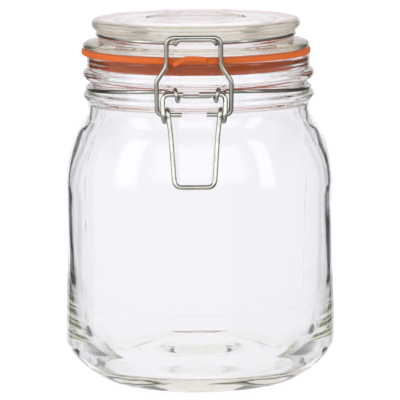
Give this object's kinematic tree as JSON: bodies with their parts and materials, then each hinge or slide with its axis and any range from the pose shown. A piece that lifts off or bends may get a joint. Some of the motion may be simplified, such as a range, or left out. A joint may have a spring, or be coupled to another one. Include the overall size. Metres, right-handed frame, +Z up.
{
  "type": "clip-top glass jar",
  "caption": "Round clear-glass terrine jar with a hinged glass lid, an orange rubber gasket and a wire clip that clamps the lid shut.",
  "frame": {"origin": "on the surface the jar stands on, under the middle of its bounding box; the jar's own axis is 2.25 mm behind it at y = +2.25 mm, because the handle stands out in front", "axes": "+Z up along the jar's axis, +X to the right seen from the front, -Y towards the viewer and the wire clip, +Y towards the lid's hinge"},
  "size_m": [0.114, 0.1185, 0.153],
  "materials": {
    "jar_glass": "clear pressed glass with a faint green tint in its thick parts, glossy",
    "gasket_rubber": "orange moulded rubber, soft satin",
    "wire_steel": "bright drawn steel wire, smooth and shiny"
  },
  "bodies": {
    "jar": {"jar_body": "jar_glass", "neck_wire": "wire_steel"},
    "lid": {"lid_glass": "jar_glass", "lid_wire": "wire_steel", "gasket": "gasket_rubber"},
    "lever": {"lever": "wire_steel"},
    "bail": {"bail": "wire_steel"}
  },
  "joints": [
    {"name": "lid_hinge", "type": "hinge", "parent": "jar", "child": "lid", "pos_m": [0, 0.05225, 0.1257], "axis": [-1, 0, 0], "range_deg": [0, 110]},
    {"name": "lever_pivot", "type": "hinge", "parent": "jar", "child": "lever", "pos_m": [0, -0.04775, 0.1257], "axis": [-1, 0, 0], "range_deg": [0, 110]},
    {"name": "bail_pivot", "type": "hinge", "parent": "lever", "child": "bail", "pos_m": [0, -0.0474, 0.1174], "axis": [1, 0, 0], "range_deg": [0, 154]}
  ],
  "couplings": [
    {"joint": "bail_pivot", "follows": "lever_pivot", "ratio": 1.4}
  ]
}
